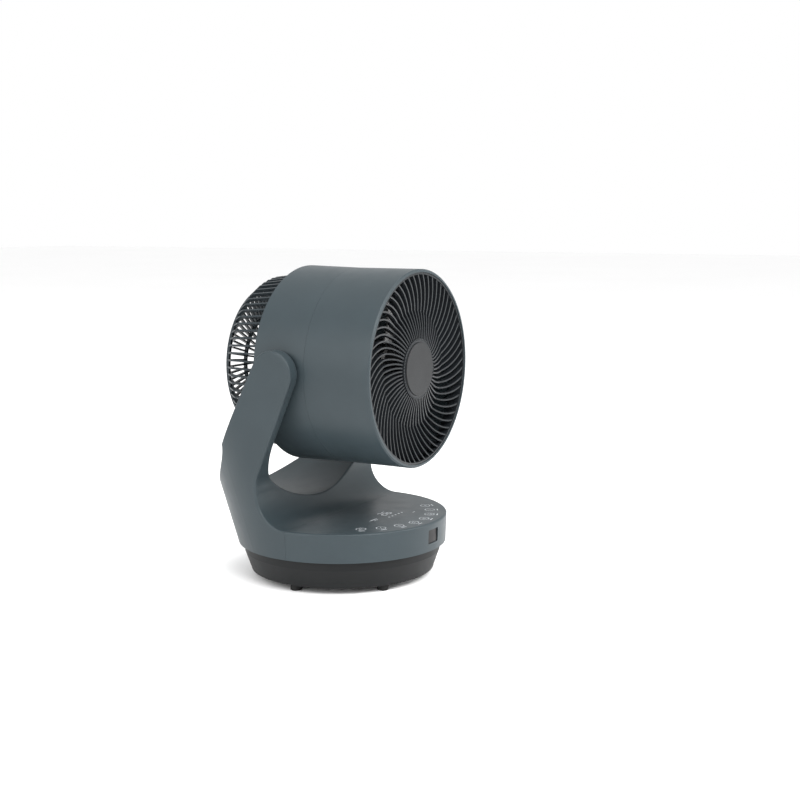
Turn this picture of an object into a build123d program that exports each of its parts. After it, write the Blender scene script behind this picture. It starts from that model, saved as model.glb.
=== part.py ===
# Desk air circulator on a yoke stand: a round swivelling deck, a tilting ring head with its
# motor, a five-blade impeller, a drum-shaped front shroud and a domed rear grille.
# Origin: centre of the footprint on the table. The air leaves towards -Y. +Z is up.
from build123d import *
from math import cos, pi, radians, sin, sqrt
import os

# ---------------------------------------------------------------- driving dimensions (mm)
foot_h = 6.3                # rubber feet lift the base by this much
foot_r = 5.5
foot_ring_r = 84.0
foot_count = 6
base_r = 99.0               # lower base, widest band
base_low_r = 92.4           # lower base, bottom edge
base_band_low = 25.0        # height where the cone meets the straight band
base_top = 33.6
base_wall = 2.6
deck_r = 105.0              # swivelling deck, at its lower edge
deck_gap = 0.4              # air gap between deck rim and base
deck_top = 62.4
deck_wall = 2.8
seam_y = -2.7               # plane where deck cover and yoke meet
seam_gap = 0.12
post_r = 15.0               # hollow swivel post
post_bore_r = 9.0
run_gap = 0.05              # radial running clearance of pins and shafts
play = 0.3                  # clearance between parts that move past each other
fit = 0.15                  # clearance between parts that are assembled together

fan_z = 211.7               # height of the fan axis and of the tilt axis
pivot_y = 7.5               # tilt axis position along the fan axis
arm_r = 22.2                # rounded arm end
arm_draft = 0.0365          # arms lean outwards by this much per mm of height
arm_front_slope = 0.444     # how far the front edge runs back per mm downwards
edge_r = 2.0                # rounding of the deck and arm edges
arm_cover_t = 8.0           # thickness of the outer arm covers at the arm end
arm_heel_y = 29.9           # upright front face where the arms meet the deck
foot_fillet_r = 32.0        # hollow fillet from the deck up to the arms
yoke_lean = 0.33            # rearward lean of the yoke's round back per mm of height
valley_r = 134.0            # trough under the head, about the fan axis
valley_corner_r = 60.0
yoke_inner_x = 98.7         # inner faces of the arms

ring_front = -19.0          # ring housing, along Y
ring_back = 36.9
ring_r = 97.1
ring_taper = 0.7            # ring is this much smaller in front and larger behind
ring_wall = 3.4
lip_len = 6.0               # inner lip that carries the shroud
lip_t = 2.2
rear_flange_r = 84.0        # opening at the back of the ring
rear_flange_t = 3.0
rear_socket = 8.0           # depth of the seat for the rear grille

motor_r = 34.0
motor_front = -11.0
motor_back = 26.0
motor_wall = 2.4
plate_t = 3.0
shaft_r = 3.0
shaft_tip = -74.0
thread_len = 15.0
drive_pin_y = -30.5
drive_pin_len = 14.0
drive_pin_r = 1.25

hub_r = 23.0
hub_rear = -28.0
hub_front = -60.5
blade_count = 5
blade_tip_r = 77.0
nut_flange_r = 14.5
nut_knob_r = 10.4
nut_len = 18.0

drum_len = 71.3
drum_wall = 3.0
grille_ribs = 60
grille_rib_t = 1.5
grille_sweep = 20.0         # degrees that each curved rib runs round
grille_depth = 6.0
grille_dish = 5.0           # how far the rib field is hollowed
badge_r = 26.0
badge_ring_r = 29.5

guard_r = 91.0              # rear grille rim
guard_len = 48.0
guard_back_r = 76.0
guard_mid_r = 48.0
guard_hub_r = 26.0
guard_ribs = 72
guard_rib_t = 1.7
guard_rib_w = 3.2

gear_module = 1.0
sun_teeth = 40
pinion_teeth = 20
gear_backlash = 0.12

# ---------------------------------------------------------------- shared places
deck_low = base_top + deck_gap
fan_axis = Axis((0, 0, fan_z), (0, 1, 0))
face_plane = Plane(origin=(0, 0, fan_z), x_dir=(1, 0, 0), z_dir=(0, -1, 0))
half_plane = Plane(origin=(0, 0, fan_z), x_dir=(0, 1, 0), z_dir=(1, 0, 0))
glide_top = base_top + 2.8
floor_low = glide_top + play
floor_top = floor_low + 2.6
ring_inner_r = ring_r - ring_wall
drum_front = ring_front - fit - drum_len


def save(part, name):
    part.label = name
    export_step(part, "parts/" + name + ".step")


def polar_copies(shape, count, start=0.0):
    """Copies of a shape spread evenly about the fan axis."""
    return [shape.rotate(fan_axis, start + 360.0 * k / count) for k in range(count)]


def turned(points):
    """Solid of revolution about the fan axis from a closed (along, radius) outline."""
    with BuildPart() as body:
        with BuildSketch(half_plane):
            with BuildLine():
                Polyline(*points, close=True)
            make_face()
        revolve(axis=fan_axis)
    return body.part


def sharp_edges(part):
    """Edges where the two faces meet at a corner, leaving out smooth seams."""
    faces_at = {}
    for face in part.faces():
        for edge in face.edges():
            faces_at.setdefault(edge, []).append(face)
    found = []
    for edge, faces in faces_at.items():
        if len(faces) == 2:
            middle = edge @ 0.5
            turn = faces[0].normal_at(middle).get_angle(faces[1].normal_at(middle))
            if turn > 15:
                found.append(edge)
    return found


def gear_outline(teeth, thin):
    """Closed gear outline: straight-flanked teeth, thinned by the backlash."""
    pitch_r = gear_module * teeth / 2
    tooth = 2 * pi / teeth
    slack = thin / pitch_r / 2
    points = []
    for k in range(teeth):
        mid = k * tooth
        for radius, half in (
            (pitch_r - 1.15 * gear_module, 0.335 * tooth - slack),
            (pitch_r, 0.25 * tooth - slack),
            (pitch_r + 0.9 * gear_module, 0.125 * tooth - slack),
        ):
            points.append((radius, mid - half))
        for radius, half in (
            (pitch_r + 0.9 * gear_module, 0.125 * tooth - slack),
            (pitch_r, 0.25 * tooth - slack),
            (pitch_r - 1.15 * gear_module, 0.335 * tooth - slack),
        ):
            points.append((radius, mid + half))
    return [(r * cos(a), r * sin(a)) for r, a in points]


def screw(length, shank_r, head_r, head_h):
    """Pan-head screw along -Z from the origin, with a cross recess."""
    with BuildPart() as body:
        Cylinder(head_r, head_h, align=(Align.CENTER, Align.CENTER, Align.MIN))
        fillet(body.edges().group_by(Axis.Z)[-1], head_h * 0.45)
        Cylinder(shank_r, length, align=(Align.CENTER, Align.CENTER, Align.MAX))
        with BuildSketch(Plane.XY.offset(head_h)):
            Rectangle(head_r * 1.2, head_r * 0.28)
            Rectangle(head_r * 0.28, head_r * 1.2)
        extrude(amount=-head_h * 0.6, mode=Mode.SUBTRACT)
    return body.part


os.makedirs("parts", exist_ok=True)

# ================================================================ fixed base
boss_r = 4.0
base_screw_ring_r = 80.0
base_screws_at = [(base_screw_ring_r * cos(radians(a)), base_screw_ring_r * sin(radians(a)))
                  for a in (30, 150, 270)]
plate_r = base_low_r - base_wall - fit
jack_z = 18.0
jack_r = 5.2

with BuildPart() as base_shell:
    with BuildSketch(Plane.XZ):
        with BuildLine():
            Polyline(
                (base_low_r, foot_h),
                (base_r, base_band_low),
                (base_r, base_top),
                (post_r + 5, base_top),
                (post_r + 5, base_top - base_wall),
                (base_r - base_wall, base_top - base_wall),
                (base_r - base_wall, base_band_low),
                (base_low_r - base_wall, foot_h),
                close=True,
            )
        make_face()
    revolve(axis=Axis.Z)
    fillet(base_shell.edges().filter_by(GeomType.CIRCLE).group_by(Axis.Z)[-1]
           .sort_by(SortBy.RADIUS)[-1], 1.0)
    with Locations(*[(x, y, base_top - base_wall) for x, y in base_screws_at]):
        Cylinder(boss_r, base_top - base_wall - foot_h - 3.0,
                 align=(Align.CENTER, Align.CENTER, Align.MAX))
    with Locations(*[(x, y, foot_h + 3.0) for x, y in base_screws_at]):
        Cylinder(1.35, 14, align=(Align.CENTER, Align.CENTER, Align.MIN), mode=Mode.SUBTRACT)
    with Locations(Location((0, base_r - 6, jack_z), (-90, 0, 0))):
        Cylinder(jack_r + fit, 20, mode=Mode.SUBTRACT)
save(base_shell.part, "base_shell")

with BuildPart() as base_plate:
    with BuildSketch(Plane.XY.offset(foot_h)):
        Circle(plate_r)
        Circle(post_bore_r, mode=Mode.SUBTRACT)
    extrude(amount=3.0)
    with Locations(*[(x, y, foot_h) for x, y in base_screws_at]):
        Cylinder(1.8, 20, mode=Mode.SUBTRACT)
        Cylinder(3.6, 1.6, align=(Align.CENTER, Align.CENTER, Align.MIN), mode=Mode.SUBTRACT)
    with BuildSketch(Plane.XY.offset(foot_h)):
        with PolarLocations(foot_ring_r, foot_count):
            Circle(foot_r + 0.1)
    extrude(amount=1.2, mode=Mode.SUBTRACT)
    with BuildSketch(Plane.XY.offset(foot_h)):
        with PolarLocations(24, 6, start_angle=30):
            Circle(1.7)
    extrude(amount=3.0, mode=Mode.SUBTRACT)
    with BuildSketch(Plane.XY.offset(foot_h)):
        with PolarLocations(46, 10):
            SlotOverall(16, 2.4)
    extrude(amount=3.0, mode=Mode.SUBTRACT)
save(base_plate.part, "base_plate")

with BuildPart() as rubber_feet:
    with BuildSketch(Plane.XY.offset(foot_h + 1.2)):
        with PolarLocations(foot_ring_r, foot_count):
            Circle(foot_r)
    extrude(amount=-(foot_h + 1.2))
    fillet(rubber_feet.edges().group_by(Axis.Z)[0], 1.0)
save(rubber_feet.part, "rubber_feet")

with BuildPart() as ballast_plate:
    with BuildSketch(Plane.XY.offset(foot_h + 3.0)):
        Circle(72)
        Circle(30, mode=Mode.SUBTRACT)
    extrude(amount=5.0)
    chamfer(ballast_plate.edges().group_by(Axis.Z)[-1], 0.8)
save(ballast_plate.part, "ballast_plate")

base_screw = screw(12, 1.35, 3.2, 1.4)
with BuildPart() as base_screws:
    for x, y in base_screws_at:
        add(base_screw.rotate(Axis.X, 180).translate((x, y, foot_h + 1.6)))
save(base_screws.part, "base_screws")

collar_top = floor_top + 3.4
sun_low = collar_top + play
sun_top = sun_low + 4.0
post_flange_top = foot_h + 3.0 + 3.0
with BuildPart() as swivel_post:
    with BuildSketch(Plane.XY.offset(foot_h + 3.0)):
        Circle(28)
        Circle(post_bore_r, mode=Mode.SUBTRACT)
    extrude(amount=3.0)
    with BuildSketch(Plane.XY.offset(post_flange_top)):
        Circle(post_r)
        Circle(post_bore_r, mode=Mode.SUBTRACT)
    extrude(amount=sun_top - post_flange_top)
    fillet(swivel_post.edges().filter_by(GeomType.CIRCLE).group_by(Axis.Z)[1]
           .sort_by(SortBy.RADIUS)[-1], 0.8)
    with BuildSketch(Plane.XY.offset(foot_h + 3.0)):
        with PolarLocations(24, 6, start_angle=30):
            Circle(1.35)
    extrude(amount=3.0, mode=Mode.SUBTRACT)
save(swivel_post.part, "swivel_post")

post_screw = screw(5.6, 1.3, 2.6, 1.4)
with BuildPart() as post_screws:
    for k in range(6):
        a = radians(30 + 60 * k)
        add(post_screw.rotate(Axis.X, 180).translate((24 * cos(a), 24 * sin(a), foot_h)))
save(post_screws.part, "post_screws")

with BuildPart() as glide_ring:
    with BuildSketch(Plane.XY.offset(base_top)):
        Circle(60)
        Circle(52, mode=Mode.SUBTRACT)
    extrude(amount=glide_top - base_top)
    fillet(glide_ring.edges().group_by(Axis.Z)[-1], 0.6)
save(glide_ring.part, "glide_ring")

with BuildPart() as swing_gear:
    with BuildSketch(Plane.XY.offset(sun_low)):
        with BuildLine():
            Polyline(*gear_outline(sun_teeth, gear_backlash), close=True)
        make_face()
        Circle(post_r, mode=Mode.SUBTRACT)
    extrude(amount=sun_top - sun_low)
save(swing_gear.part, "swing_gear")

with BuildPart() as retaining_washer:
    with BuildSketch(Plane.XY.offset(sun_top)):
        Circle(18.2)
        Circle(post_bore_r + 1.0, mode=Mode.SUBTRACT)
    extrude(amount=1.6)
    with BuildSketch(Plane.XY.offset(sun_top)):
        with PolarLocations(12.4, 3):
            Circle(1.0)
    extrude(amount=1.6, mode=Mode.SUBTRACT)
save(retaining_washer.part, "retaining_washer")

with BuildPart() as dc_jack:
    with Locations(Location((0, base_r - 9.0, jack_z), (-90, 0, 0))):
        Cylinder(jack_r, 11.0)
    with Locations(Location((0, base_r - 14.0, jack_z), (-90, 0, 0))):
        Cylinder(jack_r + 1.6, 3.0)
    with Locations(Location((0, base_r - 3.5, jack_z), (-90, 0, 0))):
        Cylinder(3.0, 9.0, align=(Align.CENTER, Align.CENTER, Align.MAX), mode=Mode.SUBTRACT)
    with Locations(Location((0, base_r - 4.5, jack_z), (-90, 0, 0))):
        Cylinder(0.9, 9.0, align=(Align.CENTER, Align.CENTER, Align.MAX))
save(dc_jack.part, "dc_jack")

# ================================================================ swivelling stand
def side_x(z):
    """Outer half width of the yoke at a height."""
    return deck_r + arm_draft * (z - deck_low)


def yoke_section(z):
    """Plan outline of the yoke block at a height: a round back with straight sides."""
    half = side_x(z)
    middle = yoke_lean * (z - deck_low)
    front = -150
    with BuildSketch(Plane.XY.offset(z)) as section:
        with BuildLine():
            Line((-half, front), (-half, middle))
            ThreePointArc((-half, middle), (0, middle + half), (half, middle))
            Line((half, middle), (half, front))
            Line((half, front), (-half, front))
        make_face()
    return section.sketch


def arm_profile():
    """Side outline of the yoke, from the seam over the arm end to the back."""
    front = sqrt(1 + arm_front_slope ** 2)
    front_y = pivot_y - arm_r / front
    front_z = fan_z - arm_r * arm_front_slope / front
    heel_z = front_z - (arm_heel_y - front_y) / arm_front_slope
    back_angle = radians(29)
    back_y = pivot_y + arm_r * cos(back_angle)
    back_z = fan_z + arm_r * sin(back_angle)
    arc_top = deck_top + foot_fillet_r
    # the back edge bows rearwards, and its bow is spread over the arm's height
    drop = fan_z - deck_top
    tail_y = pivot_y + 124.5
    tail_z = fan_z - 0.922 * drop
    upper_back = (pivot_y + 49.0, fan_z - 0.293 * drop)
    middle_back = (pivot_y + 72.0, fan_z - 0.537 * drop)
    lower_back = (pivot_y + 99.5, fan_z - 0.775 * drop)
    with BuildSketch(Plane.YZ) as profile:
        with BuildLine():
            Line((seam_y, deck_low), (seam_y, deck_top))
            Line((seam_y, deck_top), (arm_heel_y - foot_fillet_r, deck_top))
            RadiusArc((arm_heel_y - foot_fillet_r, deck_top), (arm_heel_y, arc_top),
                      -foot_fillet_r)
            Line((arm_heel_y, arc_top), (arm_heel_y, heel_z))
            Line((arm_heel_y, heel_z), (front_y, front_z))
            ThreePointArc((front_y, front_z), (pivot_y, fan_z + arm_r), (back_y, back_z))
            Spline((back_y, back_z), upper_back, middle_back, lower_back, (tail_y, tail_z),
                   tangents=((0.5, -0.9), (0.8, -0.6)))
            Line((tail_y, tail_z), (tail_y, deck_low))
            Line((tail_y, deck_low), (seam_y, deck_low))
        make_face()
        fillet(profile.vertices().sort_by_distance((arm_heel_y, heel_z, 0))[0], 26)
    return profile.sketch


def valley_profile(shrink=0.0):
    """Trough section under the head: a round floor that turns up into the arm faces."""
    half = yoke_inner_x - shrink
    radius = valley_r - shrink
    with BuildSketch(face_plane) as trough:
        Circle(radius)
        Rectangle(2 * half, 400, mode=Mode.INTERSECT)
        with Locations((0, 0)):
            Rectangle(2 * half, 160, align=(Align.CENTER, Align.MIN))
        low = trough.vertices().group_by(Axis.Z)[0]
        fillet(low, valley_corner_r)
    return trough.sketch


def side_slab(side, inset):
    """Block outside the parting plane that runs parallel to an arm's outer face."""
    low = deck_low - 5
    high = fan_z + 60
    with BuildPart() as slab:
        with BuildSketch(Plane.XZ):
            with BuildLine():
                Polyline(
                    (side * (side_x(low) - inset), low),
                    (side * 200, low),
                    (side * 200, high),
                    (side * (side_x(high) - inset), high),
                    close=True,
                )
            make_face()
        extrude(amount=250, both=True)
    return slab.part


with BuildPart() as yoke_block:
    loft([yoke_section(deck_low), yoke_section(fan_z + 40)], ruled=True)
    extrude(arm_profile(), amount=160, both=True, mode=Mode.INTERSECT)
    extrude(valley_profile(), amount=200, both=True, mode=Mode.SUBTRACT)
    rounded = [e for e in sharp_edges(yoke_block.part)
               if (e @ 0.5).Z > deck_low + 1 and abs((e @ 0.5).Y - seam_y) > 0.5]
    fillet(rounded, edge_r)

floor_screws_at = [(74 * cos(radians(a)), 74 * sin(radians(a))) for a in (45, 135, 225, 315)]
pin_r = 4.0
pin_flange_x = side_x(fan_z + 7.0) - arm_cover_t + 0.05
bush_r = 8.0
bush_outer_x = yoke_inner_x - 0.5
bush_inner_x = 84.0
channel_w = 12.0
arm_mid = (arm_front_slope + 0.55) / 2
trough_low = fan_z - valley_r
under_x = yoke_inner_x - 10.7
under_skin = 5.7

with BuildPart() as yoke_frame:
    add(yoke_block.part)
    add([side_slab(1, arm_cover_t), side_slab(-1, arm_cover_t)], mode=Mode.SUBTRACT)
    # hollow under the deck level, open downwards
    with BuildSketch(Plane.XY.offset(deck_low)):
        Circle(deck_r - deck_wall)
        with Locations((0, seam_y - 1)):
            Rectangle(2 * (deck_r - arm_cover_t - deck_wall), 200,
                      align=(Align.CENTER, Align.MIN), mode=Mode.INTERSECT)
    extrude(amount=deck_top - deck_wall - deck_low, mode=Mode.SUBTRACT)
    # hollow behind the heel, under the trough
    with BuildSketch(Plane.XZ.offset(-(arm_heel_y + deck_wall))):
        with BuildLine():
            Polyline(
                (-under_x, deck_top - 4),
                (-under_x, trough_low),
                (-under_x / 2, trough_low - 1.7),
                (0, trough_low - under_skin),
                (under_x / 2, trough_low - 1.7),
                (under_x, trough_low),
                (under_x, deck_top - 4),
                close=True,
            )
        make_face()
    extrude(amount=-24, mode=Mode.SUBTRACT)
    # screw bosses over the deck floor
    with Locations(*[(x, y, floor_top) for x, y in floor_screws_at[:2]]):
        Cylinder(4.0, trough_low + 2.3 - floor_top,
                 align=(Align.CENTER, Align.CENTER, Align.MIN))
        Cylinder(1.35, 12, align=(Align.CENTER, Align.CENTER, Align.MIN), mode=Mode.SUBTRACT)
    # pivot pin holes
    with Locations(Location((0, pivot_y, fan_z), (0, 90, 0))):
        Cylinder(pin_r, 240, mode=Mode.SUBTRACT)
save(yoke_frame.part, "yoke_frame")


def cable_channel(side):
    """Groove in the parting face of an arm cover: it holds the wires and the pin head."""
    low_z = 135.0
    low_y = pivot_y + arm_mid * (fan_z - low_z) * 0.98
    with BuildPart() as channel:
        with BuildSketch(Plane.YZ.offset(side * (side_x(low_z) - arm_cover_t - 4))):
            with BuildLine():
                run = Line((pivot_y, fan_z), (low_y, low_z))
            trace(run, line_width=channel_w)
            with Locations((pivot_y, fan_z)):
                Circle(9)
        extrude(amount=side * 60)
        add(side_slab(side, 2.6), mode=Mode.SUBTRACT)
    return channel.part


for side, name in ((-1, "arm_cover_left"), (1, "arm_cover_right")):
    with BuildPart() as arm_cover:
        add(yoke_block.part)
        add(side_slab(side, arm_cover_t), mode=Mode.INTERSECT)
        add(cable_channel(side), mode=Mode.SUBTRACT)
    save(arm_cover.part, name)

window_w = 18.5
window_h = 13.5
window_z = 48.5
board_low = deck_top - deck_wall - 3.6
cover_posts = [(-62, -34), (62, -34), (-34, -78), (34, -78)]
with BuildPart() as deck_cover:
    with BuildSketch(Plane.XY.offset(deck_low)):
        Circle(side_x(deck_low))
    with BuildSketch(Plane.XY.offset(deck_top)):
        Circle(side_x(deck_top))
    loft()
    fillet(deck_cover.edges().group_by(Axis.Z)[-1], edge_r)
    with BuildSketch(Plane.XY.offset(deck_low)):
        Circle(deck_r - deck_wall)
    extrude(amount=deck_top - deck_wall - deck_low, mode=Mode.SUBTRACT)
    with Locations(*[(x, y, deck_top - deck_wall) for x, y in cover_posts]):
        Cylinder(3.0, deck_top - deck_wall - board_low - 1.6,
                 align=(Align.CENTER, Align.CENTER, Align.MAX))
    with Locations(*[(x, y, floor_top) for x, y in floor_screws_at[2:]]):
        Cylinder(4.0, deck_top - deck_wall - floor_top,
                 align=(Align.CENTER, Align.CENTER, Align.MIN))
        Cylinder(1.35, 12, align=(Align.CENTER, Align.CENTER, Align.MIN), mode=Mode.SUBTRACT)
    with BuildSketch(Plane.XY):
        with Locations((0, seam_y - seam_gap)):
            Rectangle(300, 300, align=(Align.CENTER, Align.MIN))
    extrude(amount=100, mode=Mode.SUBTRACT)
    with BuildSketch(Plane.XZ.offset(deck_r - 8)):
        with Locations((0, window_z)):
            RectangleRounded(window_w + 2 * fit, window_h + 2 * fit, 1.2)
    extrude(amount=20, mode=Mode.SUBTRACT)
save(deck_cover.part, "deck_cover")

with BuildPart() as ir_window:
    with BuildSketch(Plane.XY.offset(window_z - window_h / 2)):
        Circle(deck_r - 0.5)
        Circle(deck_r - deck_wall - 0.6, mode=Mode.SUBTRACT)
    extrude(amount=window_h)
    with BuildSketch(Plane.XZ.offset(deck_r - 8)):
        with Locations((0, window_z)):
            RectangleRounded(window_w, window_h, 1.1)
    extrude(amount=20, mode=Mode.INTERSECT)
save(ir_window.part, "ir_window")

motor_off = 38.0
gear_gap = gear_module * (sun_teeth + pinion_teeth) / 2
motor_low = sun_top + 1.0
ear_half = 17.5
with BuildPart() as deck_floor:
    with BuildSketch(Plane.XY.offset(floor_low)):
        Circle(deck_r - arm_cover_t - deck_wall - 0.6)
        Circle(post_r + run_gap, mode=Mode.SUBTRACT)
    extrude(amount=floor_top - floor_low)
    with BuildSketch(Plane.XY.offset(floor_top)):
        Circle(post_r + 5)
        Circle(post_r + run_gap, mode=Mode.SUBTRACT)
    extrude(amount=collar_top - floor_top)
    with Locations((-ear_half, motor_off, floor_top), (ear_half, motor_off, floor_top)):
        Cylinder(2.8, motor_low - floor_top, align=(Align.CENTER, Align.CENTER, Align.MIN))
    with BuildSketch(Plane.XY.offset(floor_low)):
        with Locations(*floor_screws_at):
            Circle(1.5)
    extrude(amount=4, mode=Mode.SUBTRACT)
save(deck_floor.part, "deck_floor")

floor_screw = screw(9, 1.35, 2.9, 1.5).rotate(Axis.X, 180)
with BuildPart() as floor_screws:
    for x, y in floor_screws_at:
        add(floor_screw.translate((x, y, floor_low)))
save(floor_screws.part, "floor_screws")

with BuildPart() as control_board:
    with BuildSketch(Plane.XY.offset(board_low)):
        Circle(86)
        with Locations((0, -14)):
            Rectangle(180, 80, align=(Align.CENTER, Align.MAX), mode=Mode.INTERSECT)
    extrude(amount=1.6)
    with BuildSketch(Plane.XY.offset(board_low)):
        with Locations(*cover_posts):
            Circle(1.3)
        with Locations(*floor_screws_at[2:]):
            Circle(4.4)
    extrude(amount=1.6, mode=Mode.SUBTRACT)
    with Locations((-30, -40, board_low), (24, -36, board_low)):
        Box(12, 12, 2.2, align=(Align.CENTER, Align.CENTER, Align.MAX))
    with Locations((0, -30, board_low)):
        Cylinder(5.5, 6, align=(Align.CENTER, Align.CENTER, Align.MAX))
save(control_board.part, "control_board")

with BuildPart() as display_module:
    with Locations((0, -52, board_low + 1.6)):
        Box(46, 15, 1.9, align=(Align.CENTER, Align.CENTER, Align.MIN))
    chamfer(display_module.edges().filter_by(Axis.Z), 1.0)
save(display_module.part, "display_module")

with BuildPart() as swing_motor:
    with Locations((0, motor_off, motor_low)):
        Cylinder(14, 9.5, align=(Align.CENTER, Align.CENTER, Align.MIN))
    fillet(swing_motor.edges().group_by(Axis.Z)[-1], 1.0)
    with BuildSketch(Plane.XY.offset(motor_low)):
        with Locations((0, motor_off)):
            SlotOverall(2 * ear_half + 7, 7)
    extrude(amount=1.0)
    with Locations((0, gear_gap + gear_backlash, motor_low)):
        Cylinder(2.0 + run_gap, 7, align=(Align.CENTER, Align.CENTER, Align.MIN),
                 mode=Mode.SUBTRACT)
    with Locations((-ear_half, motor_off, motor_low), (ear_half, motor_off, motor_low)):
        Cylinder(1.4, 4, mode=Mode.SUBTRACT)
save(swing_motor.part, "swing_motor")

with BuildPart() as swing_pinion:
    with BuildSketch(Plane(origin=(0, gear_gap + gear_backlash, sun_low), z_dir=(0, 0, 1))):
        with BuildLine():
            Polyline(*gear_outline(pinion_teeth, gear_backlash), close=True)
        make_face()
        Circle(2.0, mode=Mode.SUBTRACT)
    extrude(amount=sun_top - sun_low)
pinion_turn = Axis((0, gear_gap + gear_backlash, 0), (0, 0, 1))
mesh_angle = 270 + 180 / pinion_teeth
save(swing_pinion.part.rotate(pinion_turn, mesh_angle), "swing_pinion")

with BuildPart() as pinion_shaft:
    with Locations((0, gear_gap + gear_backlash, sun_low - 0.5)):
        Cylinder(2.0, motor_low + 6 - sun_low, align=(Align.CENTER, Align.CENTER, Align.MIN))
    chamfer(pinion_shaft.edges().group_by(Axis.Z)[0], 0.4)
save(pinion_shaft.part, "pinion_shaft")

# ================================================================ pivots
for side, name in ((-1, "pivot_pin_left"), (1, "pivot_pin_right")):
    turn = (0, -90 * side, 0)
    with BuildPart() as pivot_pin:
        with Locations(Location((side * pin_flange_x, pivot_y, fan_z), turn)):
            Cylinder(pin_r, pin_flange_x - bush_inner_x - 1.0,
                     align=(Align.CENTER, Align.CENTER, Align.MIN))
            Cylinder(7.0, 1.8, align=(Align.CENTER, Align.CENTER, Align.MAX))
        chamfer(pivot_pin.edges().filter_by(GeomType.CIRCLE).sort_by(Axis.X)[0 if side > 0 else -1],
                0.6)
    save(pivot_pin.part, name)

for side, name in ((-1, "pivot_bush_left"), (1, "pivot_bush_right")):
    turn = (0, -90 * side, 0)
    with BuildPart() as pivot_bush:
        with Locations(Location((side * bush_outer_x, pivot_y, fan_z), turn)):
            Cylinder(bush_r, bush_outer_x - bush_inner_x,
                     align=(Align.CENTER, Align.CENTER, Align.MIN))
        with Locations(Location((side * 92.0, pivot_y, fan_z), turn)):
            Cylinder(bush_r + 3.5, 92.0 - bush_inner_x,
                     align=(Align.CENTER, Align.CENTER, Align.MIN))
        with Locations(Location((0, pivot_y, fan_z), (0, 90, 0))):
            Cylinder(pin_r + run_gap, 240, mode=Mode.SUBTRACT)
    save(pivot_bush.part, name)

# ================================================================ tilting head
socket_r = guard_r + 1.5 + play
socket_y = ring_back - rear_socket
flange_y = socket_y - rear_flange_t
lip_r = ring_r - ring_taper - drum_wall - play
with BuildPart() as ring_housing:
    add(turned([
        (ring_front, ring_r - ring_taper),
        (ring_back, ring_r + ring_taper),
        (ring_back, socket_r),
        (socket_y, socket_r),
        (socket_y, rear_flange_r),
        (flange_y, rear_flange_r),
        (flange_y, ring_inner_r),
        (ring_front + 9, ring_inner_r),
        (ring_front + 5, lip_r - lip_t),
        (ring_front - lip_len, lip_r - lip_t),
        (ring_front - lip_len, lip_r),
        (ring_front + 3, lip_r),
        (ring_front + 3, lip_r + 1.4),
        (ring_front, lip_r + 1.4),
    ]))
    fillet(ring_housing.edges().filter_by(GeomType.CIRCLE).sort_by(Axis.Y)[-1], 0.8)
    with BuildPart(mode=Mode.PRIVATE) as groove_rib:
        with Locations((0, ring_front + 1.8, fan_z + lip_r + 0.7)):
            Box(0.9, 2.6, 1.8)
    add(polar_copies(groove_rib.part, 48))
    with Locations(Location((0, pivot_y, fan_z), (0, 90, 0))):
        Cylinder(bush_r, 240, mode=Mode.SUBTRACT)
save(ring_housing.part, "ring_housing")

with BuildPart() as motor_housing:
    add(turned([
        (motor_front + plate_t, motor_r),
        (motor_back - 3, motor_r),
        (motor_back, motor_r - 4),
        (motor_back, 5.0),
        (motor_back - motor_wall, 5.0),
        (motor_back - motor_wall, 7.0),
        (motor_back - motor_wall - 5, 7.0),
        (motor_back - motor_wall - 5, 9.5),
        (motor_back - motor_wall, 9.5),
        (motor_back - motor_wall, motor_r - motor_wall),
        (motor_front + plate_t, motor_r - motor_wall),
    ]))
save(motor_housing.part, "motor_housing")

with BuildPart() as motor_plate:
    add(turned([
        (motor_front + plate_t, motor_r),
        (motor_front + plate_t, 8.0),
        (motor_front, 8.0),
        (motor_front, 14.0),
        (motor_front + 0.8, 15.0),
        (motor_front + 0.8, motor_r - 2.5),
        (motor_front, motor_r - 1.5),
        (motor_front, motor_r - 0.8),
        (motor_front + 0.8, motor_r),
    ]))
    with BuildSketch(face_plane.offset(-motor_front - plate_t - 1)):
        for k in range(4):
            with BuildLine():
                slot_line = CenterArc((0, 0), 23, 90 * k + 22, 46)
            trace(slot_line, line_width=5.0)
    extrude(amount=6, mode=Mode.SUBTRACT)
    with BuildSketch(face_plane.offset(-motor_front - plate_t - 1)):
        with PolarLocations(23, 2, start_angle=0):
            Circle(1.4)
    extrude(amount=6, mode=Mode.SUBTRACT)
save(motor_plate.part, "motor_plate")

plate_screw = screw(6, 1.4, 3.0, 1.6).rotate(Axis.X, 90)
with BuildPart() as plate_screws:
    add(plate_screw.translate((23, motor_front + 0.8, fan_z)))
    add(plate_screw.translate((-23, motor_front + 0.8, fan_z)))
save(plate_screws.part, "plate_screws")

save(turned([
    (motor_front - 1.2, 5.2),
    (motor_front, 8.0),
    (motor_front + 6.0, 8.0),
    (motor_front + 6.0, shaft_r + run_gap),
    (motor_front - 1.2, shaft_r + run_gap),
]), "front_bearing")
save(turned([
    (motor_back - motor_wall - 5, 7.0),
    (motor_back - motor_wall, 7.0),
    (motor_back - motor_wall, shaft_r + run_gap),
    (motor_back - motor_wall - 5, shaft_r + run_gap),
]), "rear_bearing")

stator_front = -1.0
stator_back = 13.0
rotor_r = 15.0
with BuildPart() as stator_core:
    with BuildSketch(face_plane.offset(-stator_back)):
        Circle(motor_r - motor_wall)
        Circle(rotor_r + 0.8, mode=Mode.SUBTRACT)
        with PolarLocations(22, 8):
            SlotOverall(9, 5, rotation=90, mode=Mode.SUBTRACT)
    extrude(amount=stator_back - stator_front)
save(stator_core.part, "stator_core")

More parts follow.
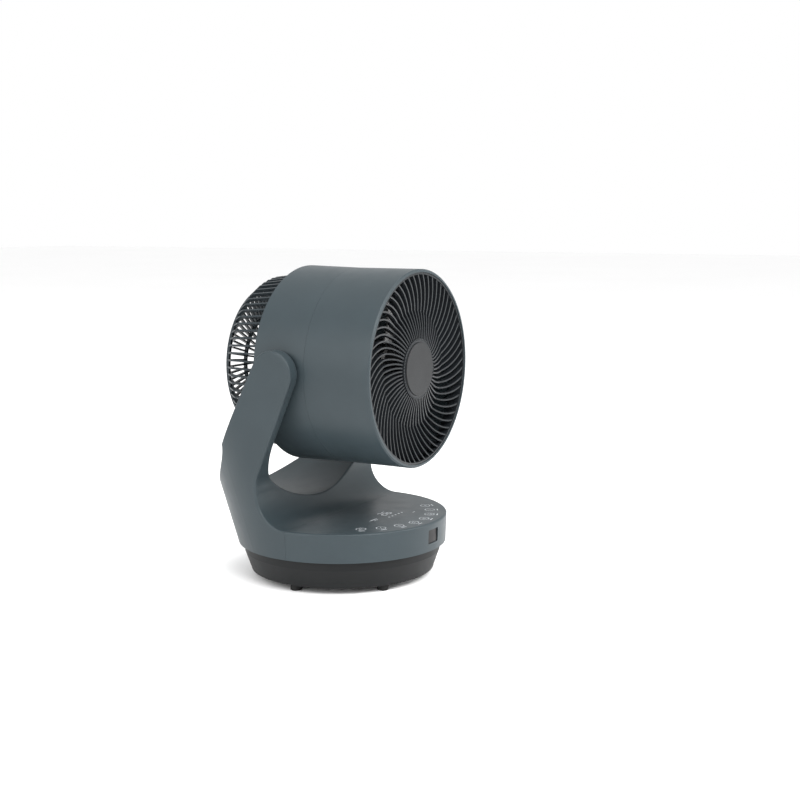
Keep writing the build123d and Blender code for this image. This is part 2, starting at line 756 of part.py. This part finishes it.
with BuildPart() as stator_windings:
    for low, high in ((stator_back, stator_back + 4), (stator_front - 3, stator_front)):
        with BuildSketch(face_plane.offset(-high)):
            Circle(28)
            Circle(17.5, mode=Mode.SUBTRACT)
        extrude(amount=high - low)
    with BuildSketch(face_plane.offset(-stator_back)):
        with PolarLocations(22, 8):
            SlotOverall(8.4, 4.4, rotation=90)
    extrude(amount=stator_back - stator_front)
save(stator_windings.part, "stator_windings")

strut_low_y = -3.0
strut_high_y = 18.0
with BuildPart() as motor_strut:
    with BuildSketch(face_plane.offset(-strut_high_y)):
        Circle(ring_inner_r)
        Circle(motor_r, mode=Mode.SUBTRACT)
        with Locations((-70, 0)):
            Rectangle(80, 17, mode=Mode.INTERSECT)
    extrude(amount=strut_high_y - strut_low_y)
    fillet(motor_strut.edges().filter_by(Axis.X), 1.5)
    with Locations(Location((-88, pivot_y, fan_z), (0, 90, 0))):
        Cylinder(bush_r + 3.5, 16, mode=Mode.SUBTRACT)
save(motor_strut.part, "motor_strut")

box_x = 81.0
box_half = 20.0
box_front = -6.0
box_back = 22.0
box_wall = 2.2
with BuildPart() as tilt_gearbox:
    with BuildSketch(face_plane.offset(-box_back)):
        with Locations((0, 0)):
            Rectangle(box_x, 2 * box_half, align=(Align.MIN, Align.CENTER))
        Circle(motor_r, mode=Mode.SUBTRACT)
    extrude(amount=box_back - box_front)
    fillet(tilt_gearbox.edges().filter_by(Axis.Y).sort_by(Axis.X)[-2:], 3.0)
    with BuildSketch(face_plane.offset(-box_back + box_wall)):
        with Locations((37.5, 0)):
            Rectangle(box_x - 40, 2 * (box_half - box_wall), align=(Align.MIN, Align.CENTER))
    extrude(amount=box_back - box_front, mode=Mode.SUBTRACT)
save(tilt_gearbox.part, "tilt_gearbox")

with BuildPart() as gearbox_cover:
    with BuildSketch(face_plane.offset(-box_front)):
        with Locations((36.5, 0)):
            Rectangle(box_x - 36.5, 2 * box_half, align=(Align.MIN, Align.CENTER))
    extrude(amount=1.8)
    fillet(gearbox_cover.edges().filter_by(Axis.Y), 2.0)
save(gearbox_cover.part, "gearbox_cover")

with BuildPart() as tilt_motor:
    with Locations(Location((58, 8, fan_z), (0, 90, 0))):
        Cylinder(10, 26)
    fillet(tilt_motor.edges().filter_by(GeomType.CIRCLE), 1.0)
    with Locations(Location((72.5, 8, fan_z), (0, 90, 0))):
        Cylinder(3, 4)
save(tilt_motor.part, "tilt_motor")

with BuildPart() as pivot_block:
    with BuildSketch(Plane.YZ.offset(box_x)):
        with Locations((pivot_y, fan_z)):
            Circle(16)
            Rectangle(17, 32, align=(Align.MIN, Align.CENTER))
    extrude(amount=ring_inner_r - box_x)
    with BuildSketch(face_plane.offset(-60)):
        Circle(ring_inner_r)
    extrude(amount=120, mode=Mode.INTERSECT)
    with Locations(Location((95, pivot_y, fan_z), (0, 90, 0))):
        Cylinder(bush_r + 3.5, 22.0, mode=Mode.SUBTRACT)
save(pivot_block.part, "pivot_block")

# ================================================================ rotor
thread_end = shaft_tip + thread_len
thread_points = [(shaft_tip, 0.0), (shaft_tip, 2.2), (shaft_tip + 0.6, 2.5)]
for k in range(int(thread_len) - 2):
    thread_points.append((shaft_tip + 1.0 + k, 2.9))
    thread_points.append((shaft_tip + 1.5 + k, 2.5))
thread_points += [(thread_end - 0.5, shaft_r), (motor_back - motor_wall - 0.5, shaft_r),
                  (motor_back - motor_wall - 0.5, 0.0)]
with BuildPart() as motor_shaft:
    add(turned(thread_points))
    with Locations((0, drive_pin_y, fan_z)):
        Cylinder(drive_pin_r, 3 * shaft_r, mode=Mode.SUBTRACT)
save(motor_shaft.part, "motor_shaft")

with BuildPart() as drive_pin:
    with Locations((0, drive_pin_y, fan_z)):
        Cylinder(drive_pin_r, drive_pin_len)
    fillet(drive_pin.edges().filter_by(GeomType.CIRCLE), 0.3)
save(drive_pin.part, "drive_pin")

save(turned([
    (stator_front, shaft_r),
    (stator_front, rotor_r),
    (stator_back, rotor_r),
    (stator_back, shaft_r),
]), "rotor_core")

# ================================================================ impeller and its nut
def blade_section(radius, skew, along, chord, pitch, thickness):
    """Rounded chord section of a blade on the plane square to its radius."""
    a = radians(skew)
    b = radians(pitch)
    across = Vector(-sin(a), 0, cos(a))
    chord_dir = across * cos(b) + Vector(0, 1, 0) * sin(b)
    place = Plane(
        origin=(radius * cos(a), along, fan_z + radius * sin(a)),
        x_dir=chord_dir,
        z_dir=(cos(a), 0, sin(a)),
    )
    with BuildSketch(place) as section:
        with BuildLine():
            ThreePointArc((-chord / 2, 0), (0, thickness), (chord / 2, 0))
            ThreePointArc((chord / 2, 0), (0, -thickness / 3), (-chord / 2, 0))
        make_face()
    return section.sketch


blade_mid_y = (hub_rear + hub_front) / 2
with BuildPart() as blade:
    loft([
        blade_section(hub_r - 1.5, 0, blade_mid_y, 33, -48, 3.4),
        blade_section(38, 7, blade_mid_y, 42, -42, 2.8),
        blade_section(54, 17, blade_mid_y, 50, -36, 2.4),
        blade_section(68, 29, blade_mid_y, 44, -31, 2.0),
        blade_section(blade_tip_r - 1.5, 40, blade_mid_y, 20, -28, 1.4),
    ])

recess_floor = hub_front + 2.5
boss_r = 8.0
with BuildPart() as impeller:
    add(turned([
        (hub_rear, hub_r),
        (hub_front + 2, hub_r),
        (hub_front, hub_r - 2),
        (hub_front, nut_flange_r + 0.8),
        (recess_floor, nut_flange_r + 0.8),
        (recess_floor, shaft_r + run_gap),
        (drive_pin_y + 1.8, shaft_r + run_gap),
        (drive_pin_y + 1.8, boss_r),
        (recess_floor + 3, boss_r),
        (recess_floor + 3, hub_r - 2.2),
        (hub_rear, hub_r - 2.2),
    ]))
    add(polar_copies(blade.part, blade_count, 90))
    with BuildSketch(face_plane):
        Circle(hub_r - 2.2)
        Circle(boss_r, mode=Mode.SUBTRACT)
    extrude(amount=-recess_floor - 3, mode=Mode.SUBTRACT)
    with Locations((0, drive_pin_y, fan_z)):
        Box(2 * drive_pin_r + 0.6, 2 * drive_pin_r + 0.6, drive_pin_len + 1, mode=Mode.SUBTRACT)
        Box(2 * drive_pin_r + 0.6, 8, drive_pin_len + 1, mode=Mode.SUBTRACT,
            align=(Align.CENTER, Align.MIN, Align.CENTER))
save(impeller.part, "impeller")

nut_rear = recess_floor - fit
with BuildPart() as spinner_nut:
    add(turned([
        (nut_rear, shaft_r + run_gap),
        (nut_rear, nut_flange_r),
        (nut_rear - 2.4, nut_flange_r),
        (nut_rear - 3.4, nut_knob_r),
        (nut_rear - nut_len + 1.6, nut_knob_r - 0.4),
        (nut_rear - nut_len, nut_knob_r - 2.2),
        (nut_rear - nut_len, 0.0),
        (shaft_tip - 1.0, 0.0),
        (shaft_tip - 1.0, shaft_r + run_gap),
    ]))
    with BuildSketch(face_plane.offset(-nut_rear + 4.0)):
        with PolarLocations(nut_knob_r + 0.5, 18):
            Circle(1.0)
    extrude(amount=nut_len, mode=Mode.SUBTRACT)
save(spinner_nut.part, "spinner_nut")

# ================================================================ front shroud
shroud_r = ring_r - ring_taper
bore_r = shroud_r - drum_wall
shroud_back = ring_front - fit
ledge_y = drum_front + 1.6 + grille_depth + grille_dish
with BuildPart() as shroud_drum:
    add(turned([
        (shroud_back, shroud_r),
        (drum_front + 1.2, shroud_r),
        (drum_front, shroud_r - 1.2),
        (drum_front, bore_r),
        (ledge_y, bore_r),
        (ledge_y, bore_r - 1.8),
        (ledge_y + 2, bore_r - 1.8),
        (ledge_y + 4, bore_r),
        (shroud_back, bore_r),
    ]))
save(shroud_drum.part, "shroud_drum")

rim_in_r = bore_r - fit - 2.0
rib_end_r = rim_in_r + 1
with BuildSketch() as spiral_rib:
    with BuildLine():
        rib_path = TangentArc(
            (badge_ring_r - 1.0, 0),
            (rib_end_r * cos(radians(grille_sweep)), rib_end_r * sin(radians(grille_sweep))),
            tangent=(1, -0.08),
        )
    trace(rib_path, line_width=grille_rib_t)
with BuildPart() as spiral_grille:
    with BuildSketch(face_plane.offset(-ledge_y)):
        with PolarLocations(0, grille_ribs):
            add(spiral_rib.sketch)
    extrude(amount=ledge_y - drum_front - 1.0)
    add(turned([
        (drum_front - 2, badge_ring_r - 1),
        (drum_front - 2, rim_in_r + 3),
        (drum_front + 1.4, rim_in_r + 3),
        (drum_front + 1.4, rim_in_r),
        (drum_front + 2.2 + grille_dish, 0.62 * rim_in_r),
        (drum_front + 2.6, badge_ring_r),
        (drum_front + 1.0, badge_ring_r - 1),
    ]), mode=Mode.SUBTRACT)
    add(turned([
        (ledge_y + 1, badge_ring_r - 4),
        (ledge_y + 1, rim_in_r + 1),
        (ledge_y - grille_dish, rim_in_r + 1),
        (ledge_y - grille_dish, rim_in_r - 4),
        (ledge_y, 0.62 * rim_in_r),
        (ledge_y - grille_dish, badge_ring_r + 4),
        (ledge_y - grille_dish, badge_ring_r - 4),
    ]), mode=Mode.SUBTRACT)
    add(turned([
        (drum_front + 0.8, rim_in_r),
        (drum_front + 0.8, bore_r - fit),
        (ledge_y, bore_r - fit),
        (ledge_y, rim_in_r),
    ]))
    add(turned([
        (drum_front + 1.6, badge_ring_r),
        (drum_front + 1.6, badge_r + fit),
        (drum_front + 3.6, badge_r + fit),
        (drum_front + 3.6, 0.0),
        (drum_front + 7.0, 0.0),
        (drum_front + 7.0, badge_ring_r),
    ]))
save(spiral_grille.part, "spiral_grille")

with BuildPart() as grille_badge:
    add(turned([
        (drum_front + 3.6, 0.0),
        (drum_front + 3.6, badge_r),
        (drum_front + 0.4, badge_r),
        (drum_front + 0.4, 0.0),
    ]))
    fillet(grille_badge.edges().filter_by(GeomType.CIRCLE).sort_by(Axis.Y)[0], 0.6)
save(grille_badge.part, "grille_badge")

# ================================================================ rear grille
guard_back = ring_back + guard_len
guard_rim_y = socket_y + fit
rim_t = 3.0
shoulder_y = guard_back - 12
with BuildPart() as guard_rib:
    with BuildSketch(half_plane):
        with BuildLine():
            Polyline(
                (guard_rim_y + 2, guard_r - 0.2),
                (shoulder_y, guard_r - 5.0),
                (guard_back - 3, guard_back_r + 3.4),
                (guard_back, guard_back_r - 1),
                (guard_back, guard_mid_r - 1),
                (guard_back - guard_rib_w, guard_mid_r - 1),
                (guard_back - guard_rib_w, guard_back_r - 2),
                (shoulder_y - 1.5, guard_r - 5.0 - guard_rib_w),
                (guard_rim_y + 2, guard_r - 0.2 - guard_rib_w),
                close=True,
            )
        make_face()
    extrude(amount=guard_rib_t / 2, both=True)
with BuildPart() as guard_spoke:
    with BuildSketch(half_plane):
        with Locations(((guard_back - guard_rib_w), guard_hub_r)):
            Rectangle(guard_rib_w, guard_mid_r - guard_hub_r, align=(Align.MIN, Align.MIN))
    extrude(amount=guard_rib_t / 2, both=True)
with BuildPart() as rim_lug:
    with BuildSketch(face_plane.offset(-guard_rim_y - 5)):
        Circle(guard_r + 1.5)
        Circle(guard_r - 1.5, mode=Mode.SUBTRACT)
        with Locations((0, guard_r)):
            Rectangle(26, 20, mode=Mode.INTERSECT)
    extrude(amount=4)
with BuildPart() as rear_grille:
    add(turned([
        (guard_rim_y, guard_r - rim_t),
        (guard_rim_y, guard_r),
        (ring_back + 2.0, guard_r),
        (ring_back + 2.0, guard_r - rim_t),
    ]))
    add(turned([
        (ring_back + 0.6, guard_r - rim_t),
        (ring_back + 0.6, guard_r + 3.0),
        (ring_back + 3.2, guard_r + 2.2),
        (ring_back + 3.2, guard_r - rim_t),
    ]))
    for radius, width in ((guard_back_r, 3.0), (guard_mid_r, 2.4), (guard_hub_r, 2.4)):
        add(turned([
            (guard_back - guard_rib_w, radius - width / 2),
            (guard_back - guard_rib_w, radius + width / 2),
            (guard_back, radius + width / 2),
            (guard_back, radius - width / 2),
        ]))
    add(polar_copies(guard_rib.part, guard_ribs))
    add(polar_copies(guard_spoke.part, guard_ribs // 2))
    add(polar_copies(rim_lug.part, 6, 15))
save(rear_grille.part, "rear_grille")

with BuildPart() as guard_cap:
    add(turned([
        (guard_back - 2.4, 0.0),
        (guard_back - 2.4, guard_hub_r - 1.2),
        (guard_back + 0.4, guard_hub_r - 1.2),
        (guard_back + 1.2, guard_hub_r - 3.0),
        (guard_back + 1.2, 0.0),
    ]))
save(guard_cap.part, "guard_cap")
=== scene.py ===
from math import cos, degrees, pi, radians, sin

import bmesh
import bpy
from mathutils import Matrix, Vector


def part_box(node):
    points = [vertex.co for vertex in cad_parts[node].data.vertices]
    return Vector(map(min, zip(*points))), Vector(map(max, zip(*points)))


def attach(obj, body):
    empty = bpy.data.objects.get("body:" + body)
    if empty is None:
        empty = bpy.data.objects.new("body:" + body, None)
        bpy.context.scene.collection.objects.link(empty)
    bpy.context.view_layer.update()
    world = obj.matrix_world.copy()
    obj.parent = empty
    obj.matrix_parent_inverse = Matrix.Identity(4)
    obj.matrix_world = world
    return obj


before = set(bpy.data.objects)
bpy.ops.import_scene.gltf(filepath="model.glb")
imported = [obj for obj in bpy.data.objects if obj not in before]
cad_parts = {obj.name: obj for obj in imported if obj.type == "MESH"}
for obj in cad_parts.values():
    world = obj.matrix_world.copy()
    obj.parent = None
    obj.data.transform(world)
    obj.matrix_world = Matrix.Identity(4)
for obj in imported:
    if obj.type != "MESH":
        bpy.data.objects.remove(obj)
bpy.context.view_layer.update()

# ---------------------------------------------------------------- places, in metres
DECK_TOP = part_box("deck_cover")[1][2]
MARK_LIFT = 0.00006          # printed marks stand this far above the deck
MARK_ARC = 0.0768            # radius of the arc of touch marks
MARK_ARC_Y = -0.0142         # centre of that arc, forward of the swivel axis
MARK_COUNT = 8
MARK_STEP = 14.8             # degrees from one mark to the next
MARK_MIDDLE = -91.5          # direction of the arc's middle, in degrees
MARK_RADIUS = 0.0050
MARK_LINE = 0.0005
GLYPH_KINDS = 5
GLYPH_SIZE = 0.0020
GLYPH_LINE = 0.0004
DASH_OUT = 0.0078            # the dash lies this far outside its mark's centre
DASH_LENGTH = 0.0062
DASH_LINE = 0.0009
PANEL_Y = -0.0460            # row of the display digits
DIGIT_HEIGHT = 0.0095
DIGIT_PITCH = 0.0085
DIGIT_X = 0.0020             # first digit
RULE_X = -0.0230             # two short rules left of the digits
DOT_COUNT = 5
DOT_X = -0.0047              # first level dot
DOT_PITCH = 0.0062
DOT_RADIUS = 0.0010
SPECULAR = 0.22              # reflectance level of the moulded plastics


# ---------------------------------------------------------------- camera
def add_camera():
    """Camera low in front of the left arm, looking a little down."""
    place = Vector((-1.09111, -0.69954, 0.35514))
    forward = Vector((0.85710, 0.49641, -0.13767)).normalized()
    right = Vector((0.50118, -0.86534, 0.0)).normalized()
    up = right.cross(forward)
    data = bpy.data.cameras.new("view_camera")
    data.sensor_width = 36.0
    data.lens = 58.5
    data.clip_end = 50.0
    camera = bpy.data.objects.new("view_camera", data)
    turn = Matrix((right, up, -forward)).transposed()
    camera.matrix_world = Matrix.Translation(place) @ turn.to_4x4()
    bpy.context.collection.objects.link(camera)
    bpy.context.scene.camera = camera


add_camera()


# ---------------------------------------------------------------- material helpers
def new_material(name):
    """Empty node material with one Principled shader."""
    material = bpy.data.materials.new(name)
    material.use_nodes = True
    nodes = material.node_tree.nodes
    nodes.clear()
    output = nodes.new("ShaderNodeOutputMaterial")
    shader = nodes.new("ShaderNodeBsdfPrincipled")
    material.node_tree.links.new(shader.outputs["BSDF"], output.inputs["Surface"])
    return material, shader


def add_noise(material, scale, detail=4.0, stretch=(1.0, 1.0, 1.0)):
    """Noise in object coordinates, so it stays put on the piece."""
    nodes = material.node_tree.nodes
    links = material.node_tree.links
    coords = nodes.new("ShaderNodeTexCoord")
    mapping = nodes.new("ShaderNodeMapping")
    mapping.inputs["Scale"].default_value = stretch
    noise = nodes.new("ShaderNodeTexNoise")
    noise.inputs["Scale"].default_value = scale
    noise.inputs["Detail"].default_value = detail
    links.new(coords.outputs["Object"], mapping.inputs["Vector"])
    links.new(mapping.outputs["Vector"], noise.inputs["Vector"])
    return noise.outputs["Fac"]


def add_range(material, source, low, high, start=0.3, end=0.7):
    """Map a 0..1 value to a range of numbers."""
    node = material.node_tree.nodes.new("ShaderNodeMapRange")
    node.inputs["From Min"].default_value = start
    node.inputs["From Max"].default_value = end
    node.inputs["To Min"].default_value = low
    node.inputs["To Max"].default_value = high
    material.node_tree.links.new(source, node.inputs["Value"])
    return node.outputs["Result"]


def add_mix(material, source, first, second):
    """Blend two colours by a 0..1 value."""
    node = material.node_tree.nodes.new("ShaderNodeMix")
    node.data_type = "RGBA"
    node.inputs["A"].default_value = (*first, 1.0)
    node.inputs["B"].default_value = (*second, 1.0)
    material.node_tree.links.new(source, node.inputs["Factor"])
    return node.outputs["Result"]


def add_bump(material, shader, source, strength, distance):
    """Raise and sink the surface by a 0..1 value."""
    node = material.node_tree.nodes.new("ShaderNodeBump")
    node.inputs["Strength"].default_value = strength
    node.inputs["Distance"].default_value = distance
    material.node_tree.links.new(source, node.inputs["Height"])
    material.node_tree.links.new(node.outputs["Normal"], shader.inputs["Normal"])


def moulded_plastic(name, color, rough, grain=0.25, coat=0.0, spread=0.12, grain_scale=2600.0):
    """Moulded plastic: slow colour drift, fine spark-eroded grain and uneven gloss."""
    material, shader = new_material(name)
    links = material.node_tree.links
    drift = add_noise(material, 22.0, 3.0)
    light = tuple(min(1.0, c * (1 + spread)) for c in color)
    dark = tuple(c * (1 - spread) for c in color)
    links.new(add_mix(material, add_range(material, drift, 0.0, 1.0), dark, light),
              shader.inputs["Base Color"])
    cloud = add_noise(material, 60.0, 5.0)
    links.new(add_range(material, cloud, rough - 0.025, rough + 0.03), shader.inputs["Roughness"])
    pits = add_noise(material, grain_scale, 2.0)
    add_bump(material, shader, pits, grain, 0.00006)
    shader.inputs["IOR"].default_value = 1.5
    shader.inputs["Specular IOR Level"].default_value = SPECULAR
    shader.inputs["Coat Weight"].default_value = coat
    shader.inputs["Coat Roughness"].default_value = 0.12
    return material


def metal(name, color, rough, stretch=(1.0, 1.0, 1.0), scale=900.0, strength=0.3):
    """Bare metal with fine machining lines."""
    material, shader = new_material(name)
    links = material.node_tree.links
    lines = add_noise(material, scale, 4.0, stretch)
    dark = tuple(c * 0.72 for c in color)
    links.new(add_mix(material, add_range(material, lines, 0.0, 1.0), dark, color),
              shader.inputs["Base Color"])
    shader.inputs["Metallic"].default_value = 1.0
    links.new(add_range(material, lines, rough - 0.06, rough + 0.1), shader.inputs["Roughness"])
    add_bump(material, shader, lines, strength, 0.00003)
    return material


def printed_mark(name, color):
    """Screen-printed ink, a little uneven in cover."""
    material, shader = new_material(name)
    links = material.node_tree.links
    speck = add_noise(material, 1800.0, 3.0)
    dark = tuple(c * 0.75 for c in color)
    links.new(add_mix(material, add_range(material, speck, 0.0, 1.0), dark, color),
              shader.inputs["Base Color"])
    links.new(add_range(material, speck, 0.4, 0.6), shader.inputs["Roughness"])
    return material


def backdrop_paint():
    """Pale studio surface with a very faint tone drift."""
    material, shader = new_material("studio_white")
    links = material.node_tree.links
    drift = add_noise(material, 1.5, 2.0)
    links.new(add_mix(material, drift, (0.95, 0.95, 0.95), (0.98, 0.98, 0.98)),
              shader.inputs["Base Color"])
    shader.inputs["Roughness"].default_value = 0.7
    return material


SLATE = moulded_plastic("slate_moulding", (0.026, 0.036, 0.041), 0.40, grain=0.22, spread=0.05)
BASE_DARK = moulded_plastic("base_moulding", (0.0035, 0.0042, 0.0047), 0.52, grain=0.3)
BLACK_SATIN = moulded_plastic("black_satin_moulding", (0.0075, 0.008, 0.0085), 0.34, grain=0.15)
BLACK_GLOSS = moulded_plastic("black_gloss_moulding", (0.006, 0.006, 0.0065), 0.22, grain=0.05,
                              coat=0.4)
GRILLE = moulded_plastic("grille_moulding", (0.018, 0.024, 0.028), 0.34, grain=0.15)
FRONT_GRILLE = moulded_plastic("front_grille_moulding", (0.011, 0.013, 0.015), 0.34, grain=0.12)
BADGE = moulded_plastic("badge_moulding", (0.014, 0.015, 0.016), 0.5, grain=0.4, grain_scale=4200.0)
RUBBER = moulded_plastic("foot_rubber", (0.012, 0.012, 0.012), 0.8, grain=0.6)
ACETAL = moulded_plastic("acetal_moulding", (0.62, 0.62, 0.59), 0.4, grain=0.1)
BOARD = moulded_plastic("solder_mask", (0.01, 0.09, 0.04), 0.35, grain=0.2)
WINDOW = moulded_plastic("dark_window", (0.002, 0.0015, 0.002), 0.35, grain=0.02)
STEEL = metal("ground_steel", (0.56, 0.57, 0.58), 0.28, stretch=(1.0, 0.05, 1.0))
ZINC = metal("zinc_plate", (0.72, 0.73, 0.74), 0.3)
BRONZE = metal("sintered_bronze", (0.42, 0.28, 0.12), 0.45, scale=1500.0)
COPPER = metal("enamelled_copper", (0.55, 0.2, 0.07), 0.35, stretch=(1.0, 12.0, 1.0), scale=260.0,
               strength=0.8)
IRON = metal("rolled_plate", (0.16, 0.16, 0.165), 0.5, scale=500.0)
INK = printed_mark("pale_ink", (0.62, 0.65, 0.68))

FINISHES = {
    SLATE: ["yoke_frame", "arm_cover_left", "arm_cover_right", "deck_cover", "ring_housing",
            "shroud_drum"],
    BASE_DARK: ["base_shell", "base_plate", "deck_floor"],
    BLACK_SATIN: ["motor_strut", "tilt_gearbox", "gearbox_cover", "pivot_block", "pivot_bush_left",
                  "pivot_bush_right", "spinner_nut", "dc_jack", "display_module"],
    BLACK_GLOSS: ["impeller", "motor_housing", "motor_plate"],
    GRILLE: ["rear_grille", "guard_cap"],
    FRONT_GRILLE: ["spiral_grille"],
    BADGE: ["grille_badge"],
    RUBBER: ["rubber_feet"],
    ACETAL: ["swivel_post", "glide_ring", "swing_gear", "swing_pinion"],
    BOARD: ["control_board"],
    WINDOW: ["ir_window"],
    STEEL: ["motor_shaft", "drive_pin", "pivot_pin_left", "pivot_pin_right", "pinion_shaft",
            "retaining_washer", "stator_core", "swing_motor", "tilt_motor"],
    ZINC: ["base_screws", "post_screws", "floor_screws", "plate_screws"],
    BRONZE: ["front_bearing", "rear_bearing"],
    COPPER: ["stator_windings"],
    IRON: ["ballast_plate", "rotor_core"],
}


def dress_nodes():
    """Give every CAD node its finished material."""
    for material, names in FINISHES.items():
        for name in names:
            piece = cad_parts[name]
            for slot in piece.material_slots:
                slot.material = material
            if not piece.material_slots:
                piece.data.materials.append(material)


dress_nodes()


# ---------------------------------------------------------------- printed marks on the deck
def flat_piece(name, loops, material, body):
    """Thin flat faces on the deck from closed loops of (x, y) points."""
    mesh = bpy.data.meshes.new(name)
    build = bmesh.new()
    height = DECK_TOP + MARK_LIFT
    for loop in loops:
        build.faces.new([build.verts.new((x, y, height)) for x, y in loop])
    build.normal_update()
    for face in build.faces:
        if face.normal.z < 0:
            face.normal_flip()
    build.to_mesh(mesh)
    build.free()
    mesh.materials.append(material)
    piece = bpy.data.objects.new(name, mesh)
    bpy.context.collection.objects.link(piece)
    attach(piece, body)


def ring_loops(x, y, radius, width, start=0.0, sweep=360.0, steps=40):
    """A flat ring, or part of one, as a strip of four-cornered loops."""
    loops = []
    for k in range(steps):
        a = radians(start + sweep * k / steps)
        b = radians(start + sweep * (k + 1) / steps)
        inner = radius - width
        loops.append([
            (x + inner * cos(a), y + inner * sin(a)),
            (x + radius * cos(a), y + radius * sin(a)),
            (x + radius * cos(b), y + radius * sin(b)),
            (x + inner * cos(b), y + inner * sin(b)),
        ])
    return loops


def bar_loop(x, y, length, width, angle=0.0):
    """A flat bar centred on a point."""
    along = Vector((cos(angle), sin(angle))) * length / 2
    across = Vector((-sin(angle), cos(angle))) * width / 2
    middle = Vector((x, y))
    corners = (middle - along - across, middle + along - across,
               middle + along + across, middle - along + across)
    return [tuple(c) for c in corners]


def glyph_loops(kind, x, y, angle):
    """A small generic symbol inside a touch mark: power, minus, plus, arc or three bars."""
    size = GLYPH_SIZE
    line = GLYPH_LINE
    bar = bar_loop(x, y, 2 * size, line, angle)
    if kind == 0:
        stem = bar_loop(x + 0.8 * size * cos(angle), y + 0.8 * size * sin(angle),
                        0.9 * size, line, angle)
        return ring_loops(x, y, size, line, degrees(angle) + 110, 320, 24) + [stem]
    if kind == 1:
        return [bar]
    if kind == 2:
        return [bar, bar_loop(x, y, 2 * size, line, angle + pi / 2)]
    if kind == 3:
        return ring_loops(x, y, size, line, 0, 300, 24)
    loops = []
    for k in range(3):
        length = 2 * size * (0.6 + 0.2 * k)
        loops.append(bar_loop(x, y + (k - 1) * 0.55 * size, length, 0.875 * line))
    return loops


def add_touch_marks():
    """Arc of round touch marks near the deck's front edge, with a dash outside each."""
    loops = []
    for k in range(MARK_COUNT):
        angle = radians(MARK_MIDDLE + (k - (MARK_COUNT - 1) / 2) * MARK_STEP)
        x = MARK_ARC * cos(angle)
        y = MARK_ARC_Y + MARK_ARC * sin(angle)
        loops += ring_loops(x, y, MARK_RADIUS, MARK_LINE)
        loops += glyph_loops(k % GLYPH_KINDS, x, y, angle)
        reach = MARK_ARC + DASH_OUT
        loops.append(bar_loop(reach * cos(angle), MARK_ARC_Y + reach * sin(angle),
                              DASH_LENGTH, DASH_LINE, angle + pi / 2))
    flat_piece("touch_marks", loops, INK, "stand")


SEGMENTS = {"2": "abged", "6": "afgedc"}


def digit_loops(value, x, y):
    """Seven-segment digit with its foot towards the user."""
    height = DIGIT_HEIGHT
    width = 0.55 * height
    upright = pi / 2
    places = {
        "a": (0, height / 2, width, 0),
        "g": (0, 0, width, 0),
        "d": (0, -height / 2, width, 0),
        "b": (width / 2, height / 4, height / 2, upright),
        "c": (width / 2, -height / 4, height / 2, upright),
        "f": (-width / 2, height / 4, height / 2, upright),
        "e": (-width / 2, -height / 4, height / 2, upright),
    }
    loops = []
    for name in SEGMENTS[value]:
        dx, dy, length, angle = places[name]
        loops.append(bar_loop(x + dx, y + dy, 0.86 * length, 0.09 * height, angle))
    return loops


def add_display_marks():
    """Speed digits with a rule and level dots, shown through the deck."""
    loops = digit_loops("2", DIGIT_X, PANEL_Y)
    loops += digit_loops("6", DIGIT_X + DIGIT_PITCH, PANEL_Y)
    loops.append(bar_loop(RULE_X, PANEL_Y - 0.0045, 0.0120, 0.0009))
    loops.append(bar_loop(RULE_X, PANEL_Y - 0.0075, 0.0070, 0.0006))
    for k in range(DOT_COUNT):
        loops += ring_loops(DOT_X + DOT_PITCH * k, PANEL_Y - 0.0120, DOT_RADIUS, DOT_RADIUS,
                            steps=12)
    loops.append(bar_loop(0.0276, PANEL_Y - 0.0215, 0.0040, 0.0006))
    flat_piece("display_marks", loops, INK, "stand")


add_touch_marks()
add_display_marks()


# ---------------------------------------------------------------- studio
def add_stage():
    """Wide pale floor under the object."""
    mesh = bpy.data.meshes.new("studio_floor")
    build = bmesh.new()
    reach = 12.0
    signs = ((-1, -1), (1, -1), (1, 1), (-1, 1))
    build.faces.new([build.verts.new((reach * x, reach * y, 0.0)) for x, y in signs])
    build.to_mesh(mesh)
    build.free()
    mesh.materials.append(backdrop_paint())
    floor = bpy.data.objects.new("studio_floor", mesh)
    bpy.context.collection.objects.link(floor)


def add_area(name, place, target, size, power):
    """Soft rectangular light that points at a target."""
    data = bpy.data.lights.new(name, "AREA")
    data.shape = "RECTANGLE"
    data.size = size[0]
    data.size_y = size[1]
    data.energy = power
    light = bpy.data.objects.new(name, data)
    light.location = place
    direction = Vector(target) - Vector(place)
    light.rotation_euler = direction.to_track_quat("-Z", "Y").to_euler()
    bpy.context.collection.objects.link(light)


def add_lights():
    """Soft light from the front, the left and above, in a white room."""
    middle = (0.0, 0.0, 0.17)
    add_area("key_light", (-0.6, -1.7, 1.5), middle, (1.6, 1.0), 36.0)
    add_area("side_light", (-1.9, 0.5, 0.9), middle, (1.2, 1.4), 22.0)
    add_area("top_light", (-0.2, -0.5, 2.2), middle, (2.0, 2.0), 40.0)
    add_area("front_light", (0.9, -1.7, 0.9), middle, (0.8, 1.4), 24.0)
    world = bpy.data.worlds.new("studio_world")
    world.use_nodes = True
    background = world.node_tree.nodes["Background"]
    background.inputs["Color"].default_value = (1.0, 1.0, 1.0, 1.0)
    background.inputs["Strength"].default_value = 1.0
    bpy.context.scene.world = world


add_stage()
add_lights()
bpy.context.scene.view_settings.view_transform = "Standard"
